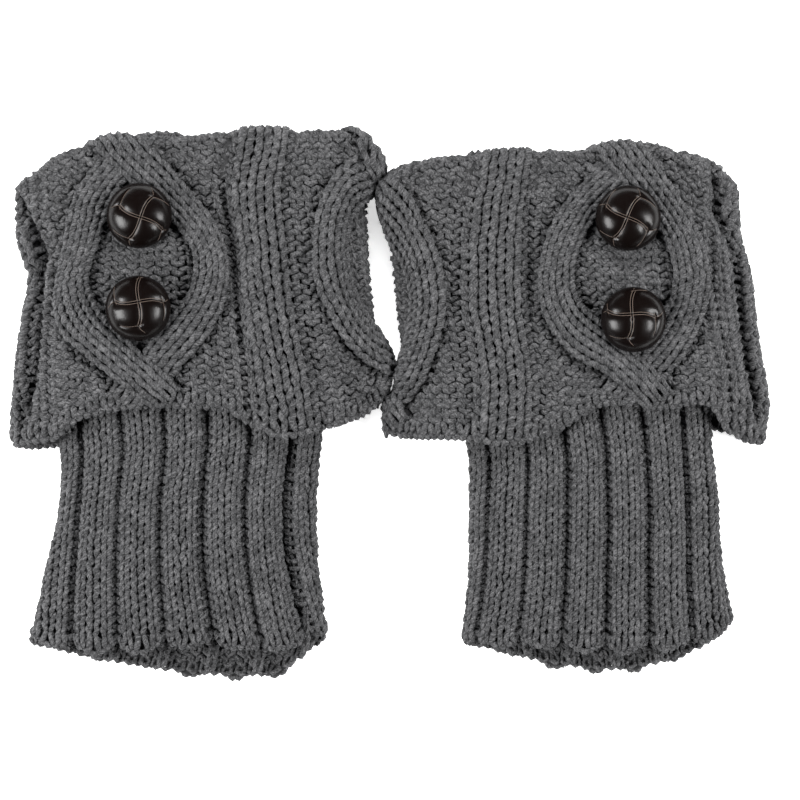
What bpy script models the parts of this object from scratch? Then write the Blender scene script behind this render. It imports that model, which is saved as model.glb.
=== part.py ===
"""Pair of knitted boot cuffs with turned-down cable flaps and leather buttons, lying flat side by side.

Each cuff is one knitted tube. Its ribbed leg runs up inside, and at the top the knit turns over outwards
and comes down again as a flap with cables and two buttons. The tube lies pressed flat: X runs across it,
+Y points from the ribbed hem to the fold, and Z=0 is the surface that it lies on. Sizes are in millimetres.
"""

import math

import bmesh
import bpy
from mathutils import Vector

MM = 0.001

# Knit
STATIONS = 65            # points round each ring of cloth: five for each rib
FLAP_BANDS = 7           # from the fold to the hem
FLAP_WALL = 2.4
RIB_WALL = 2.4
FOLD_SPACE = 0.6         # between the flap and the cloth that it turns over from
FOLD_RADIUS = (2 * FLAP_WALL + FOLD_SPACE) / 2
FOLD_STEPS = 3
RETURN_LENGTH = 16.0     # of flap knit inside the fold, down to where the ribbing begins
SEAM_GAP = 0.3
SEAM_LEVEL = 0.12        # the share of the width, at each side edge, over which the seam runs level
FOLD_INSET = FLAP_WALL + FOLD_SPACE
FLAP_LENGTH = 108.0      # from the fold to the hem, on average
FLAP_SHOULDER = 0.28     # the share of the half width over which the front falls to the side edges
RIB_SHOULDER = 0.5

# Cable pattern: between plain columns, two cable strands part and cross again round an almond
REPEATS = 3              # round the flap
STRAND_HALF = 1 / 12     # half width of a strand or column, as a share of a repeat
PART_MOST = 0.27         # the furthest that a strand goes from the almond's centre line
PART_START = 0.02        # where the strands cross, as shares of the way from fold to hem
PART_END = 0.89
CABLE_RELIEF = 1.5

# Ribbing
RIBS = 13                # round the leg
GROOVE_SHARPNESS = 3

# Leather buttons
BUTTON_RADIUS = 12.5
BUTTON_DOME = 8.6
BUTTON_RIM = 1.4         # height of the rim's round edge
BOSS_RADIUS = 4.0
BOSS_HEIGHT = 2.3
BUTTON_LIFT = 0.9        # of the boss above the flap, for the strands beside it
BUTTON_STEPS = 24
DOME_ROWS = 5

KNIT_GREY = (0.105, 0.106, 0.109, 1)
LEATHER_BROWN = (0.012, 0.007, 0.005, 1)


class Table:
    """Rows of named columns, read between the rows along a smooth curve. The first column is the place."""

    def __init__(self, names, *rows):
        self.columns = dict(zip(names.split(), zip(*rows)))
        self.places = next(iter(self.columns.values()))

    def at(self, place, name):
        values, places = self.columns[name], self.places
        last = len(places) - 1
        i = max(0, min(last - 1, sum(p <= place for p in places) - 1))
        step = places[i + 1] - places[i]
        t = max(0.0, min(1.0, (place - places[i]) / step))

        def slope(k):
            low, high = max(0, k - 1), min(last, k + 1)
            return (values[high] - values[low]) / (places[high] - places[low]) * step

        return (
            values[i] * (1 + 2 * t) * (1 - t) ** 2
            + slope(i) * t * (1 - t) ** 2
            + values[i + 1] * (3 - 2 * t) * t**2
            - slope(i + 1) * (1 - t) * t**2
        )


# How each cuff lies.
# flap: the side edges of the flap, from the fold (0) to its hem (1); crown is the height of its front,
#   edge the radius of its side folds, and turn the way round from the left edge to the almond's centre,
#   as a share of the whole way round.
# flap_ends: the fold and the flap's hem, in front and behind, across from the left edge (0) to the right (1).
# rib: the ribbed leg, from the end of the return (0) to its hem (1); floor is the height of its underside,
#   depth that of its grooves, and turn the way round to the groove that comes down from that centre.
# buttons: their places on the flap, across and down.
LAYS = {
    "left": {
        "flap": Table(
            "down left right crown edge turn",
            (0.00, -143.2, -5.8, 18.5, 7.8, 0.161),
            (0.17, -142.6, -8.8, 18.8, 7.4, 0.162),
            (0.33, -138.4, -8.9, 19.2, 6.8, 0.166),
            (0.50, -140.7, -8.1, 19.6, 6.3, 0.171),
            (0.67, -143.2, -6.2, 20.0, 5.8, 0.176),
            (0.83, -144.8, -3.0, 20.3, 5.2, 0.182),
            (1.00, -145.1, -0.6, 20.5, 4.7, 0.187),
        ),
        "flap_ends": Table(
            "across fold hem_front hem_back",
            (0.00, 83.4, -17.1, -17.1),
            (0.10, 94.2, -14.0, -17.5),
            (0.20, 98.4, -5.5, -15.0),
            (0.38, 100.6, -2.0, -11.0),
            (0.58, 104.0, -4.6, -9.0),
            (0.66, 104.1, -11.4, -9.0),
            (0.73, 104.1, -13.2, -9.0),
            (0.84, 104.1, -9.8, -7.0),
            (0.94, 103.2, -5.0, -3.0),
            (1.00, 93.7, 2.9, 2.9),
        ),
        "rib": Table(
            "down left right floor crown edge depth turn",
            (0.12, -135.0, -12.8, 3.1, 15.2, 4.6, 0.4, 0.168),
            (0.28, -132.0, -17.5, 3.2, 15.2, 4.4, 0.8, 0.180),
            (0.55, -127.1, -25.8, 3.2, 16.2, 4.6, 1.6, 0.202),
            (0.70, -127.5, -27.8, 0.0, 15.4, 5.0, 1.8, 0.199),
            (0.85, -133.5, -28.3, 0.0, 15.0, 4.8, 1.8, 0.216),
            (1.00, -140.5, -25.4, 0.0, 14.5, 4.5, 1.8, 0.237),
        ),
        "rib_hem": Table(
            "across hem_front hem_back",
            (0.00, -90.6, -90.6),
            (0.15, -93.4, -95.7),
            (0.32, -94.0, -99.6),
            (0.50, -92.4, -102.6),
            (0.70, -92.8, -104.4),
            (0.85, -94.8, -102.6),
            (1.00, -88.6, -88.6),
        ),
        "buttons": ((0.334, 0.264), (0.339, 0.620)),
    },
    "right": {
        "flap": Table(
            "down left right crown edge turn",
            (0.00, -1.5, 132.1, 18.5, 7.8, 0.344),
            (0.17, -1.9, 133.2, 18.8, 7.4, 0.332),
            (0.33, 0.8, 137.1, 19.2, 6.8, 0.319),
            (0.50, 2.3, 139.4, 19.6, 6.3, 0.315),
            (0.67, 3.6, 141.7, 20.0, 5.8, 0.318),
            (0.83, 3.0, 144.4, 20.3, 5.2, 0.323),
            (1.00, -3.5, 142.8, 20.5, 4.7, 0.335),
        ),
        "flap_ends": Table(
            "across fold hem_front hem_back",
            (0.00, 84.5, -11.7, -11.7),
            (0.08, 91.9, -14.1, -13.0),
            (0.20, 94.8, -14.4, -13.0),
            (0.35, 95.6, -16.4, -12.0),
            (0.47, 96.6, -11.0, -10.0),
            (0.56, 96.2, -2.2, -9.0),
            (0.65, 96.6, -1.2, -9.0),
            (0.76, 97.4, -2.7, -9.0),
            (0.86, 95.7, -1.8, -10.0),
            (0.94, 92.4, -14.0, -13.0),
            (1.00, 83.7, -16.4, -16.4),
        ),
        "rib": Table(
            "down left right floor crown edge depth turn",
            (0.12, 5.8, 129.6, 3.1, 15.2, 4.6, 0.4, 0.337),
            (0.28, 15.0, 126.0, 3.2, 15.2, 4.4, 0.8, 0.345),
            (0.55, 29.6, 124.0, 3.2, 16.2, 4.6, 1.6, 0.357),
            (0.70, 30.8, 127.1, 0.0, 15.4, 5.0, 1.8, 0.352),
            (0.85, 30.4, 128.8, 0.0, 15.0, 4.8, 1.8, 0.347),
            (1.00, 28.1, 132.8, 0.0, 14.5, 4.5, 1.8, 0.339),
        ),
        "rib_hem": Table(
            "across hem_front hem_back",
            (0.00, -92.4, -92.4),
            (0.20, -92.0, -96.5),
            (0.38, -92.6, -100.8),
            (0.60, -93.4, -101.8),
            (0.75, -93.2, -98.4),
            (0.90, -90.2, -92.0),
            (1.00, -84.9, -84.9),
        ),
        "buttons": ((0.673, 0.251), (0.646, 0.658)),
    },
}


def smoothstep(t):
    t = max(0.0, min(1.0, t))
    return t * t * (3 - 2 * t)


def outline(left, right, floor, crown, edge, shoulder, count=360):
    """The closed outline of a tube lying flat, as (x, z), from its left edge over the front and back below.

    Its underside is flat and its side edges are round. Its front falls from the crown to the side edges
    over the share of its half width that shoulder states.
    """
    centre, half = (left + right) / 2, (right - left) / 2
    roundness = 2 * half / edge
    points = []
    for k in range(count):
        angle = 2 * math.pi * k / count
        share = -math.cos(angle)
        end = math.sqrt(1 - abs(share) ** roundness)
        side = floor + edge
        if math.sin(angle) > 0:
            front = side + edge + (crown - side - edge) * smoothstep((1 - abs(share)) / shoulder)
            z = side + (front - side) * end
        else:
            z = side - edge * end
        points.append((centre + half * share, z))
    return points


def ring(points, turn):
    """Evenly spaced stations round an outline, as (x, z, normal x, normal z), from this share of the way."""
    ends = points[1:] + points[:1]
    lengths = [math.dist(a, b) for a, b in zip(points, ends)]
    perimeter = sum(lengths)
    stations = []
    for i in range(STATIONS):
        left_over = perimeter * ((turn + i / STATIONS) % 1)
        k = 0
        while left_over > lengths[k]:
            left_over -= lengths[k]
            k += 1
        (ax, az), (bx, bz) = points[k], ends[k]
        t = left_over / lengths[k]
        nx, nz = (az - bz) / lengths[k], (bx - ax) / lengths[k]
        stations.append((ax + (bx - ax) * t, az + (bz - az) * t, nx, nz))
    return stations


def flap_ring(lay, down):
    """The flap's outer ring at one level, with its row of the table."""
    row = {name: lay["flap"].at(down, name) for name in lay["flap"].columns}
    points = outline(row["left"], row["right"], 0.0, row["crown"], row["edge"], FLAP_SHOULDER)
    return row, ring(points, row["turn"])


def cable_relief(turns, down):
    """How far the knit stands out at this many repeats from an almond's centre."""
    phase = (turns + 0.5) % 1 - 0.5
    parted = PART_MOST * math.sin(math.pi * (down - PART_START) / (PART_END - PART_START))
    away = min(abs(abs(phase) - abs(parted)), 0.5 - abs(phase))
    return CABLE_RELIEF * smoothstep(1.5 * (1 - away / STRAND_HALF))


def fold_line(lay, row, x):
    """Where the flap's outside turns into its fold, as Y, at this X of a ring with this row of the table."""
    across = (x - row["left"]) / (row["right"] - row["left"])
    return lay["flap_ends"].at(max(0.0, min(1.0, across)), "fold") - FOLD_RADIUS


def seam_line(lay, row, x):
    """Where the return ends and the ribbing begins, as Y: along the fold, but level at the side edges."""
    across = (x - row["left"]) / (row["right"] - row["left"])
    along = max(SEAM_LEVEL, min(1 - SEAM_LEVEL, across))
    return lay["flap_ends"].at(along, "fold") - FOLD_RADIUS - RETURN_LENGTH


def hem_line(ends, row, x, nz):
    """A hem's Y at this X: the front's where the normal points up, and the back's where it points down."""
    across = max(0.0, min(1.0, (x - row["left"]) / (row["right"] - row["left"])))
    front, behind = ends.at(across, "hem_front"), ends.at(across, "hem_back")
    return behind + (front - behind) * (1 + nz) / 2


def flap_rows(lay, depth):
    """One side of the flap's wall, this deep in it: from its hem up, over the fold and down the return."""
    rows = []
    for band in reversed(range(FLAP_BANDS + 1)):
        down = band / FLAP_BANDS
        row, stations = flap_ring(lay, down)
        points = []
        for i, (x, z, nx, nz) in enumerate(stations):
            top, hem = fold_line(lay, row, x), hem_line(lay["flap_ends"], row, x, nz)
            out = cable_relief(REPEATS * i / STATIONS, down) * smoothstep(0.5 + nz) - depth
            points.append((x + nx * out, top + (hem - top) * down, z + nz * out))
        rows.append(points)
    radius = FOLD_RADIUS - depth
    row, stations = flap_ring(lay, 0)
    for step in range(1, FOLD_STEPS + 1):
        angle = math.pi * step / FOLD_STEPS
        points = []
        for i, (x, z, nx, nz) in enumerate(stations):
            ridge = cable_relief(REPEATS * i / STATIONS, 0) * smoothstep(0.5 + nz) * (1 + math.cos(angle)) / 2
            inset = FOLD_RADIUS - radius * math.cos(angle) - ridge
            points.append((x - nx * inset, fold_line(lay, row, x) + radius * math.sin(angle), z - nz * inset))
        rows.append(points)
    row, stations = flap_ring(lay, RETURN_LENGTH / FLAP_LENGTH)
    inset = FOLD_RADIUS + radius
    rows.append([(x - nx * inset, seam_line(lay, row, x), z - nz * inset) for x, z, nx, nz in stations])
    return rows


def rib_rows(lay, depth):
    """One side of the ribbed leg's wall, this deep in it: from its hem up to the end of the flap's return."""
    seam_row, seam_stations = flap_ring(lay, RETURN_LENGTH / FLAP_LENGTH)
    rows = []
    for down in reversed(lay["rib"].places):
        row = {name: lay["rib"].at(down, name) for name in lay["rib"].columns}
        points = outline(row["left"], row["right"], row["floor"], row["crown"], row["edge"], RIB_SHOULDER)
        ribbed = []
        for i, (x, z, nx, nz) in enumerate(ring(points, row["turn"])):
            top, hem = seam_line(lay, seam_row, x), hem_line(lay["rib_hem"], row, x, nz)
            in_rib = math.cos(2 * math.pi * RIBS * i / STATIONS)
            inset = depth + row["depth"] * abs(nz) * (0.5 + 0.5 * in_rib) ** GROOVE_SHARPNESS
            ribbed.append((x - nx * inset, top + (hem - top) * down, z - nz * inset))
        rows.append(ribbed)
    inset = FOLD_INSET + depth
    rows.append([
        (x - nx * inset, seam_line(lay, seam_row, x) - SEAM_GAP, z - nz * inset)
        for x, z, nx, nz in seam_stations
    ])
    return rows


def knit(name, outside, inside, material, collection):
    """A tube of cloth, as a loft up the outside of its wall, over its end and down the inside again."""
    build = bmesh.new()
    rings = [[build.verts.new(Vector(p) * MM) for p in row] for row in outside + inside[::-1]]
    for low, high in zip(rings, rings[1:] + rings[:1]):
        for i in range(STATIONS):
            k = (i + 1) % STATIONS
            build.faces.new((low[i], low[k], high[k], high[i]))
    mesh = bpy.data.meshes.new(name)
    build.to_mesh(mesh)
    build.free()
    mesh.shade_smooth()
    mesh.materials.append(material)
    cloth = bpy.data.objects.new(name, mesh)
    collection.objects.link(cloth)


def button_mesh(material):
    """Half the outline of a domed leather button, from the top of its dome to the foot of its boss."""
    dome = [
        (BUTTON_RADIUS * math.sin(angle), BOSS_HEIGHT + BUTTON_RIM + BUTTON_DOME * math.cos(angle))
        for angle in (math.pi / 2 * k / DOME_ROWS for k in range(DOME_ROWS + 1))
    ]
    rim = [(BUTTON_RADIUS - BUTTON_RIM, BOSS_HEIGHT), (BOSS_RADIUS, BOSS_HEIGHT), (BOSS_RADIUS, 0.0), (0.0, 0.0)]
    profile = dome + rim
    mesh = bpy.data.meshes.new("button_profile")
    mesh.from_pydata(
        [Vector((r, 0, z)) * MM for r, z in profile], [(i, i + 1) for i in range(len(profile) - 1)], []
    )
    mesh.materials.append(material)
    return mesh


def flap_front(lay, across, down):
    """The point of the flap's front at these shares of its width and of the way from fold to hem."""
    row = {name: lay["flap"].at(down, name) for name in lay["flap"].columns}
    top = lay["flap_ends"].at(across, "fold") - FOLD_RADIUS
    hem = lay["flap_ends"].at(across, "hem_front")
    return row["left"] + (row["right"] - row["left"]) * across, top + (hem - top) * down, row["crown"]


def place_button(name, mesh, lay, across, down, collection):
    """One button standing on the front of the flap."""
    x, y, z = flap_front(lay, across, down)
    button = bpy.data.objects.new(name, mesh)
    button.location = Vector((x, y, z + BUTTON_LIFT)) * MM
    turned = button.modifiers.new("turned", "SCREW")
    turned.steps = turned.render_steps = BUTTON_STEPS
    turned.use_merge_vertices = True
    turned.merge_threshold = 0.0001
    turned.use_smooth_shade = True
    collection.objects.link(button)
    return button


def plain_material(name, colour, roughness):
    material = bpy.data.materials.new(name)
    material.use_nodes = True
    shader = material.node_tree.nodes["Principled BSDF"]
    shader.inputs["Base Color"].default_value = colour
    shader.inputs["Roughness"].default_value = roughness
    return material


def main():
    for old in list(bpy.data.objects):
        bpy.data.objects.remove(old)
    collection = bpy.data.collections.new("knitted_boot_cuffs")
    bpy.context.scene.collection.children.link(collection)
    leather = plain_material("button_leather", LEATHER_BROWN, 0.35)
    button = button_mesh(leather)
    for side, lay in LAYS.items():
        wool = plain_material(f"{side}_flap_knit", KNIT_GREY, 0.95)
        ribbing = plain_material(f"{side}_rib_knit", KNIT_GREY, 0.95)
        knit(f"{side}_cable_flap", flap_rows(lay, 0), flap_rows(lay, FLAP_WALL), wool, collection)
        knit(f"{side}_ribbed_leg", rib_rows(lay, 0), rib_rows(lay, RIB_WALL), ribbing, collection)
        for place, (across, down) in zip(("upper", "lower"), lay["buttons"]):
            place_button(f"{side}_{place}_button", button, lay, across, down, collection)


main()
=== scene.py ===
"""Looks of the pair of knitted boot cuffs: every stitch is a loop of yarn on the form of the CAD cloth.

Sizes are in millimetres, in the CAD's frame, and MM turns them into metres where meshes are made. A place on
a cuff's cloth is a turn, the share of the way round the tube from the buttoned almond's centre, and a course,
the number of knitted rows up from its hem. A stitch takes up one wale across and one course along.
"""

import math
from collections import namedtuple
from functools import partial
from itertools import groupby

import bpy
import numpy as np
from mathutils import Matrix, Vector


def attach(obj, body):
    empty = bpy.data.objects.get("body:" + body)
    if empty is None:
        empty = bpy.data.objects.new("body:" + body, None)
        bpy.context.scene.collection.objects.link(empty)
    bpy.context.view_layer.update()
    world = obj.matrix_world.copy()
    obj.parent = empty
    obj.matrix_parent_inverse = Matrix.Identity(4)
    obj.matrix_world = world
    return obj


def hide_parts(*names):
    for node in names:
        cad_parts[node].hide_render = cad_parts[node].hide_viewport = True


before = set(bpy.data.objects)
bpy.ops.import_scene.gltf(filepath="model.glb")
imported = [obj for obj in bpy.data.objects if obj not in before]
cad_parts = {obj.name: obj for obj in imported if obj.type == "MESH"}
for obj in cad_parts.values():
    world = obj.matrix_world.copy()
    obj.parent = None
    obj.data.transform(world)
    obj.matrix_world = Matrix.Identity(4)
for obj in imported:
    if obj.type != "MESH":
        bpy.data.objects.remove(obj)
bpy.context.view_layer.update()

MM = 0.001

# Cloth, as in the CAD
FLAP_WALL = 2.4
RIB_WALL = 2.4
FOLD_SPACE = 0.6
FOLD_RADIUS = (2 * FLAP_WALL + FOLD_SPACE) / 2
FOLD_INSET = FLAP_WALL + FOLD_SPACE
FLAP_LENGTH = 108.0
FLAP_SHOULDER = 0.28
RIB_SHOULDER = 0.5
RETURN_LENGTH = 16.0
SEAM_GAP = 0.3
SEAM_LEVEL = 0.12
RIBS = 13
REPEATS = 3
PART_MOST = 0.27
PART_START = 0.02
PART_END = 0.89
STRAND_WIDTH = 14.6
BUTTON_RADIUS = 12.5
BUTTON_DOME = 8.6
BUTTON_RIM = 1.4
BOSS_HEIGHT = 2.3
BUTTON_LIFT = 0.9
BUTTONS = {
    "left": {"upper": (0.334, 0.264), "lower": (0.339, 0.620)},
    "right": {"upper": (0.673, 0.251), "lower": (0.646, 0.658)},
}

# Stitches
FLAP_WALES = 54
REPEAT = FLAP_WALES // REPEATS
FLAP_COURSES = 27            # from the hem to the fold
FOLD_COURSES = 2.2
RETURN_COURSES = 4
RIB_COURSES = 50             # from the hem to the seam
RIB_COURSES_SHOWN = 31
WALE = 5.4                   # width of a stitch on the flap
COURSE = 3.9                 # its height
YARN_RADIUS = 1.25
RIB_YARN_RADIUS = 1.07
LOOP_LEAN = 0.225            # how far a loop's head is wider than its foot, in wales
LOOP_REACH = 0.86            # half the height of a loop, in courses
FLAP_LOOP_DEPTH = 1.05       # how far a loop's ends lie behind its legs, on the flap's ground
STRAND_LOOP_DEPTH = 0.8
RIB_LOOP_DEPTH = 0.95
FIBRE_LENGTH = 3.2
FIBRE_WIDTH = 0.15
YARN_LEVEL = -0.5            # of the yarn, from the middle of the cloth's wall
YARN_LOWEST = 1.25           # no yarn's middle lies lower, as the cuff lies on something flat
BASE_LOWEST = 0.5
PRESSED = 0.3                # how gently what would reach lower is flattened
WOBBLE = (0.045, 0.07, 0.17, 0.07)           # across in wales, along in courses, out in mm, share of the girth
STRAND_WOBBLE = (0.035, 0.05, 0.12, 0.05)
WOBBLE_COURSES = 62          # more than any part has
FRONT_DETAIL = (10, 5)       # points along each stitch, and sides round the yarn
BACK_DETAIL = (9, 4)
INNER_DETAIL = (8, 4)
FLAP_HEM_RADIUS = 1.33
LEG_HEM_RADIUS = 1.12
FLAP_BASE_DEPTH = 1.15       # how far the cloth behind the stitches lies behind the yarn's level
LEG_BASE_DEPTH = 0.95


class Table:
    """Rows of named columns, read between the rows along a smooth curve. The first column is the place."""

    def __init__(self, names, *rows):
        self.columns = dict(zip(names.split(), np.array(rows, float).T))
        self.places = next(iter(self.columns.values()))
        self.slopes = {}
        last = len(self.places) - 1
        low = np.maximum(np.arange(last + 1) - 1, 0)
        high = np.minimum(np.arange(last + 1) + 1, last)
        for name, values in self.columns.items():
            self.slopes[name] = (values[high] - values[low]) / (self.places[high] - self.places[low])

    def at(self, place, name):
        values, slopes = self.columns[name], self.slopes[name]
        i = np.clip(np.searchsorted(self.places, place, side="right") - 1, 0, len(self.places) - 2)
        step = self.places[i + 1] - self.places[i]
        t = np.clip((place - self.places[i]) / step, 0, 1)
        return (
            values[i] * (1 + 2 * t) * (1 - t) ** 2
            + slopes[i] * step * t * (1 - t) ** 2
            + values[i + 1] * (3 - 2 * t) * t**2
            - slopes[i + 1] * step * (1 - t) * t**2
        )

    def row(self, place):
        return {name: float(self.at(place, name)) for name in self.columns}


# How each cuff lies: the CAD's own tables.
LAYS = {
    "left": {
        "flap": Table(
            "down left right crown edge turn",
            (0.00, -143.2, -5.8, 18.5, 7.8, 0.161),
            (0.17, -142.6, -8.8, 18.8, 7.4, 0.162),
            (0.33, -138.4, -8.9, 19.2, 6.8, 0.166),
            (0.50, -140.7, -8.1, 19.6, 6.3, 0.171),
            (0.67, -143.2, -6.2, 20.0, 5.8, 0.176),
            (0.83, -144.8, -3.0, 20.3, 5.2, 0.182),
            (1.00, -145.1, -0.6, 20.5, 4.7, 0.187),
        ),
        "flap_ends": Table(
            "across fold hem_front hem_back",
            (0.00, 83.4, -17.1, -17.1),
            (0.10, 94.2, -14.0, -17.5),
            (0.20, 98.4, -5.5, -15.0),
            (0.38, 100.6, -2.0, -11.0),
            (0.58, 104.0, -4.6, -9.0),
            (0.66, 104.1, -11.4, -9.0),
            (0.73, 104.1, -13.2, -9.0),
            (0.84, 104.1, -9.8, -7.0),
            (0.94, 103.2, -5.0, -3.0),
            (1.00, 93.7, 2.9, 2.9),
        ),
        "rib": Table(
            "down left right floor crown edge turn",
            (0.12, -135.0, -12.8, 3.1, 15.2, 4.6, 0.168),
            (0.28, -132.0, -17.5, 3.2, 15.2, 4.4, 0.180),
            (0.55, -127.1, -25.8, 3.2, 16.2, 4.6, 0.202),
            (0.70, -127.5, -27.8, 0.0, 15.4, 5.0, 0.199),
            (0.85, -133.5, -28.3, 0.0, 15.0, 4.8, 0.216),
            (1.00, -140.5, -25.4, 0.0, 14.5, 4.5, 0.237),
        ),
        "rib_hem": Table(
            "across hem_front hem_back",
            (0.00, -90.6, -90.6),
            (0.15, -93.4, -95.7),
            (0.32, -94.0, -99.6),
            (0.50, -92.4, -102.6),
            (0.70, -92.8, -104.4),
            (0.85, -94.8, -102.6),
            (1.00, -88.6, -88.6),
        ),
    },
    "right": {
        "flap": Table(
            "down left right crown edge turn",
            (0.00, -1.5, 132.1, 18.5, 7.8, 0.344),
            (0.17, -1.9, 133.2, 18.8, 7.4, 0.332),
            (0.33, 0.8, 137.1, 19.2, 6.8, 0.319),
            (0.50, 2.3, 139.4, 19.6, 6.3, 0.315),
            (0.67, 3.6, 141.7, 20.0, 5.8, 0.318),
            (0.83, 3.0, 144.4, 20.3, 5.2, 0.323),
            (1.00, -3.5, 142.8, 20.5, 4.7, 0.335),
        ),
        "flap_ends": Table(
            "across fold hem_front hem_back",
            (0.00, 84.5, -11.7, -11.7),
            (0.08, 91.9, -14.1, -13.0),
            (0.20, 94.8, -14.4, -13.0),
            (0.35, 95.6, -16.4, -12.0),
            (0.47, 96.6, -11.0, -10.0),
            (0.56, 96.2, -2.2, -9.0),
            (0.65, 96.6, -1.2, -9.0),
            (0.76, 97.4, -2.7, -9.0),
            (0.86, 95.7, -1.8, -10.0),
            (0.94, 92.4, -14.0, -13.0),
            (1.00, 83.7, -16.4, -16.4),
        ),
        "rib": Table(
            "down left right floor crown edge turn",
            (0.12, 5.8, 129.6, 3.1, 15.2, 4.6, 0.337),
            (0.28, 15.0, 126.0, 3.2, 15.2, 4.4, 0.345),
            (0.55, 29.6, 124.0, 3.2, 16.2, 4.6, 0.357),
            (0.70, 30.8, 127.1, 0.0, 15.4, 5.0, 0.352),
            (0.85, 30.4, 128.8, 0.0, 15.0, 4.8, 0.347),
            (1.00, 28.1, 132.8, 0.0, 14.5, 4.5, 0.339),
        ),
        "rib_hem": Table(
            "across hem_front hem_back",
            (0.00, -92.4, -92.4),
            (0.20, -92.0, -96.5),
            (0.38, -92.6, -100.8),
            (0.60, -93.4, -101.8),
            (0.75, -93.2, -98.4),
            (0.90, -90.2, -92.0),
            (1.00, -84.9, -84.9),
        ),
    },
}

# Soft troughs, along short lines of (x, y): face is 1 on the front and -1 on the back. Their sides are steeper
# with a higher power. They are wider in the cloth behind the stitches, and in the leg inside the fold.
BASE_CREASE_WIDEN = 1.35
LEG_CREASE_WIDEN = 1.3
Crease = namedtuple("Crease", "face depth width line power", defaults=(2,))
CREASES = {
    "left": (
        Crease(1, 7.8, 1.9, ((-143, 80), (-140, 71), (-136.4, 63), (-133.7, 56), (-135, 46), (-135.9, 30),
                             (-137.5, 8), (-139.7, -9)), 4),
        Crease(1, 2.6, 2.2, ((-64, 84), (-61, 62), (-58, 40), (-56, 20))),
        Crease(1, 1.6, 3.0, ((-40, 98), (-42, 70), (-38, 40), (-30, 10))),
        Crease(-1, 2.0, 3.0, ((-40, 90), (-44, 60), (-38, 20))),
        Crease(-1, 1.6, 3.5, ((-96, 85), (-90, 50), (-94, 10))),
    ),
    "right": (
        Crease(1, 6.5, 1.8, ((124, 92), (125.5, 74), (129.5, 62), (132.4, 51), (133.4, 39), (135, 23), (138.6, 4),
                             (141, -9)), 4),
        Crease(1, 2.4, 2.3, ((109, 95), (114, 85), (119, 76))),
        Crease(1, 2.0, 1.6, ((75, 98), (74, 90), (73, 82))),
        Crease(1, 1.6, 2.2, ((51, 84), (52, 50), (53, 0))),
        Crease(-1, 2.0, 3.0, ((40, 85), (46, 50), (42, 10))),
        Crease(-1, 1.6, 3.5, ((100, 88), (94, 50), (98, 5))),
    ),
}


def smoothstep(t):
    t = np.clip(t, 0, 1)
    return t * t * (3 - 2 * t)


def to_line(line, x, y):
    """How far each place is from this line, and how far along the line its nearest point lies, from 0 to 1."""
    line = np.array(line, float)
    nearest, along = np.full(x.shape, np.inf), np.zeros(x.shape)
    for i, (a, b) in enumerate(zip(line, line[1:])):
        step = b - a
        t = np.clip(((x - a[0]) * step[0] + (y - a[1]) * step[1]) / (step @ step), 0, 1)
        away = np.hypot(x - a[0] - t * step[0], y - a[1] - t * step[1])
        along = np.where(away < nearest, (i + t) / (len(line) - 1), along)
        nearest = np.minimum(nearest, away)
    return nearest, along


def mesh_piece(name, points, faces):
    mesh = bpy.data.meshes.new(name)
    mesh.from_pydata((points * MM).tolist(), [], faces)
    piece = bpy.data.objects.new(name, mesh)
    bpy.context.scene.collection.objects.link(piece)
    return piece


# ---------------- the cloth's form


def ring(row, shoulder, stations, fine=1440):
    """Stations round a flat-lying tube's outline, as x, z and their normals, from the row's turn on."""
    left, right, crown, edge = (row[name] for name in ("left", "right", "crown", "edge"))
    floor = row.get("floor", 0.0)
    angle = 2 * math.pi * np.arange(fine) / fine
    share = -np.cos(angle)
    end = np.sqrt(1 - np.abs(share) ** ((right - left) / edge))
    side = floor + edge
    front = side + edge + (crown - side - edge) * smoothstep((1 - np.abs(share)) / shoulder)
    x = (left + right) / 2 + (right - left) / 2 * share
    z = np.where(np.sin(angle) > 0, side + (front - side) * end, side - edge * end)
    x, z = np.append(x, x[0]), np.append(z, z[0])
    lengths = np.hypot(np.diff(x), np.diff(z))
    along = np.append(0, np.cumsum(lengths))
    at = along[-1] * ((row["turn"] + np.arange(stations) / stations) % 1)
    nx, nz = -np.diff(z) / lengths, np.diff(x) / lengths
    middle = (along[1:] + along[:-1]) / 2
    nx, nz = (np.interp(at, middle, n, period=along[-1]) for n in (nx, nz))
    size = np.hypot(nx, nz)
    return np.interp(at, along, x), np.interp(at, along, z), nx / size, nz / size


def across_of(row, x):
    return np.clip((x - row["left"]) / (row["right"] - row["left"]), 0, 1)


def flap_row(lay, down, stations):
    row = lay["flap"].row(down)
    return row, ring(row, FLAP_SHOULDER, stations)


def fold_line(lay, row, x):
    return lay["flap_ends"].at(across_of(row, x), "fold") - FOLD_RADIUS


def seam_line(lay, row, x):
    along = np.clip(across_of(row, x), SEAM_LEVEL, 1 - SEAM_LEVEL)
    return lay["flap_ends"].at(along, "fold") - FOLD_RADIUS - RETURN_LENGTH


def hem_line(ends, row, x, nz):
    across = across_of(row, x)
    behind = ends.at(across, "hem_back")
    return behind + (ends.at(across, "hem_front") - behind) * (1 + nz) / 2


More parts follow.
